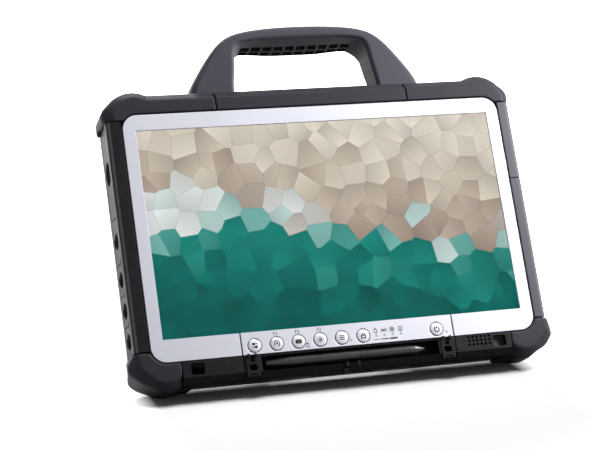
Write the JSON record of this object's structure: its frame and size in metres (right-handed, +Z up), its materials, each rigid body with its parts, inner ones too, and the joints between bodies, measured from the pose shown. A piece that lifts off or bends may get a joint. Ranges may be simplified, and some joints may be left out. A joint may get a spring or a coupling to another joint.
{
  "type": "rugged tablet computer",
  "caption": "Rugged tablet computer leaning on a fold-out stand, with a fixed carry handle, rubber corner guards, round front keys, a docked pen and doors over its side ports.",
  "frame": {"origin": "on the table, below the middle of the box round the leaning tablet", "axes": "+X to the right as seen from the front, +Y away from the viewer, +Z up"},
  "size_m": [0.349, 0.163, 0.2651],
  "materials": {
    "case_metal": "charcoal painted magnesium alloy, fine texture",
    "bezel_silver": "silver paint, satin",
    "guard_rubber": "moulded elastomer, matte charcoal",
    "handle_plastic": "charcoal moulded plastic, satin",
    "tray_plastic": "black moulded plastic",
    "pen_plastic": "black moulded plastic, satin",
    "door_plastic": "grey moulded plastic, satin",
    "key_plastic": "silver painted caps",
    "lens_clear": "clear light pipes",
    "screen_glass": "clear touch glass",
    "display": "lit display panel",
    "gasket_foam": "closed foam gasket",
    "board_green": "printed circuit board",
    "metal_bright": "bare metal",
    "steel": "bright steel",
    "stand_metal": "charcoal painted plate",
    "foot_rubber": "black rubber",
    "battery_plastic": "grey moulded plastic"
  },
  "bodies": {
    "case": {"front_frame": "case_metal", "rear_cover": "case_metal", "front_bezel": "bezel_silver", "button_panel": "bezel_silver", "display_gasket": "gasket_foam", "touch_glass": "screen_glass", "lcd_panel": "display", "button_board": "board_green", "led_lenses": "lens_clear", "carry_handle": "handle_plastic", "handle_screws": "steel", "pen_tray": "tray_plastic", "lower_left_cover": "tray_plastic", "lower_right_cover": "tray_plastic", "speaker": "tray_plastic", "dock_connector": "tray_plastic", "cover_pins": "steel", "io_connectors": "metal_bright", "card_door_pin": "steel", "card_slots": "metal_bright", "mainboard": "board_green", "heat_spreader": "metal_bright", "memory_module": "board_green", "storage_drive": "metal_bright", "wireless_card": "board_green", "coin_cell": "steel", "kickstand_pins": "steel", "case_screws": "steel", "back_feet": "foot_rubber", "guard_top_left": "guard_rubber", "guard_top_right": "guard_rubber", "guard_top_centre": "guard_rubber", "guard_bottom_left": "guard_rubber", "guard_bottom_right": "guard_rubber"},
    "kickstand": {"kickstand": "stand_metal", "kickstand_foot": "foot_rubber"},
    "card_door": {"card_door": "door_plastic"},
    "battery": {"battery_pack": "battery_plastic"},
    "battery_latch": {"battery_latch": "tray_plastic"},
    "stylus": {"stylus_barrel": "pen_plastic", "stylus_tip": "tray_plastic"},
    "stylus_button": {"stylus_button": "pen_plastic"},
    "key_1": {"key_1": "key_plastic"},
    "key_2": {"key_2": "key_plastic"},
    "key_3": {"key_3": "key_plastic"},
    "key_4": {"key_4": "key_plastic"},
    "key_5": {"key_5": "key_plastic"},
    "key_6": {"key_6": "key_plastic"},
    "power_button": {"power_button": "key_plastic"},
    "port_cover_1": {"port_cover_1": "door_plastic"},
    "port_cover_2": {"port_cover_2": "door_plastic"},
    "port_cover_3": {"port_cover_3": "door_plastic"},
    "port_cover_4": {"port_cover_4": "door_plastic"},
    "port_cover_5": {"port_cover_5": "door_plastic"}
  },
  "joints": [
    {"name": "kickstand_fold", "type": "hinge", "parent": "case", "child": "kickstand", "pos_m": [0, 0.0119, 0.10558], "axis": [-1, 0, 0], "range_deg": [0, 42.3]},
    {"name": "key_1_press", "type": "slide", "parent": "case", "child": "key_1", "axis": [0, 0.8886, -0.4586], "range_m": [0, 0.0012], "stiffness_N_per_m": 800, "springref_m": -0.0006},
    {"name": "key_2_press", "type": "slide", "parent": "case", "child": "key_2", "axis": [0, 0.8886, -0.4586], "range_m": [0, 0.0012], "stiffness_N_per_m": 800, "springref_m": -0.0006},
    {"name": "key_3_press", "type": "slide", "parent": "case", "child": "key_3", "axis": [0, 0.8886, -0.4586], "range_m": [0, 0.0012], "stiffness_N_per_m": 800, "springref_m": -0.0006},
    {"name": "key_4_press", "type": "slide", "parent": "case", "child": "key_4", "axis": [0, 0.8886, -0.4586], "range_m": [0, 0.0012], "stiffness_N_per_m": 800, "springref_m": -0.0006},
    {"name": "key_5_press", "type": "slide", "parent": "case", "child": "key_5", "axis": [0, 0.8886, -0.4586], "range_m": [0, 0.0012], "stiffness_N_per_m": 800, "springref_m": -0.0006},
    {"name": "key_6_press", "type": "slide", "parent": "case", "child": "key_6", "axis": [0, 0.8886, -0.4586], "range_m": [0, 0.0012], "stiffness_N_per_m": 800, "springref_m": -0.0006},
    {"name": "power_button_press", "type": "slide", "parent": "case", "child": "power_button", "axis": [0, 0.8886, -0.4586], "range_m": [0, 0.0012], "stiffness_N_per_m": 800, "springref_m": -0.0006},
    {"name": "port_cover_1_swing", "type": "hinge", "parent": "case", "child": "port_cover_1", "pos_m": [-0.1665, -0.01677, 0.11588], "axis": [0, 0.4586, 0.8886], "range_deg": [0, 90]},
    {"name": "port_cover_2_swing", "type": "hinge", "parent": "case", "child": "port_cover_2", "pos_m": [-0.1665, -0.01677, 0.11588], "axis": [0, 0.4586, 0.8886], "range_deg": [0, 90]},
    {"name": "port_cover_3_swing", "type": "hinge", "parent": "case", "child": "port_cover_3", "pos_m": [-0.1665, -0.01677, 0.11588], "axis": [0, 0.4586, 0.8886], "range_deg": [0, 90]},
    {"name": "port_cover_4_swing", "type": "hinge", "parent": "case", "child": "port_cover_4", "pos_m": [-0.1665, -0.01677, 0.11588], "axis": [0, 0.4586, 0.8886], "range_deg": [0, 90]},
    {"name": "port_cover_5_swing", "type": "hinge", "parent": "case", "child": "port_cover_5", "pos_m": [-0.1665, -0.01677, 0.11588], "axis": [0, 0.4586, 0.8886], "range_deg": [0, 90]},
    {"name": "card_door_swing", "type": "hinge", "parent": "case", "child": "card_door", "pos_m": [0.1665, -0.00504, 0.10983], "axis": [0, 0.4586, 0.8886], "range_deg": [0, 90]},
    {"name": "battery_slide", "type": "slide", "parent": "case", "child": "battery", "axis": [1, 0, 0], "range_m": [0, 0.098]},
    {"name": "battery_latch_slide", "type": "slide", "parent": "battery", "child": "battery_latch", "axis": [0, 0.8886, -0.4586], "range_m": [0, 0.004]},
    {"name": "stylus_lift", "type": "slide", "parent": "case", "child": "stylus", "axis": [0, -0.8886, 0.4586], "range_m": [0, 0.03]},
    {"name": "stylus_button_press", "type": "slide", "parent": "stylus", "child": "stylus_button", "axis": [0, 0.8886, -0.4586], "range_m": [0, 0.0004], "stiffness_N_per_m": 400, "springref_m": -0.0005}
  ]
}
